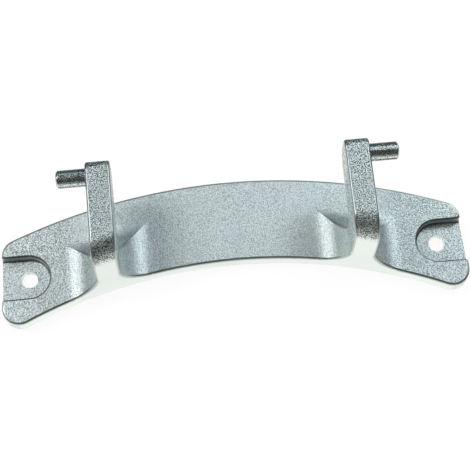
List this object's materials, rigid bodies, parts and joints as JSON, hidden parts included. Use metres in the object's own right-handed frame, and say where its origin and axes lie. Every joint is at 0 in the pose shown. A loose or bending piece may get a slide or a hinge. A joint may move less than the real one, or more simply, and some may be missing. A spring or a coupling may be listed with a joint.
{
  "type": "washing machine door hinge",
  "caption": "Die-cast door hinge: a curved screw-on plate with gooseneck arms that carry outward pivot pins on one axis.",
  "frame": {"origin": "on the flat back, midway between the two screw holes", "axes": "+X along the chord of the arc, +Y from the inner edge of the plate towards its outer edge, +Z out of the back towards the arms"},
  "size_m": [0.1872, 0.0529, 0.043],
  "materials": {
    "cast_metal": "blasted die-cast skin, fine grain"
  },
  "bodies": {
    "root": {"hinge_casting": "cast_metal"}
  },
  "joints": []
}
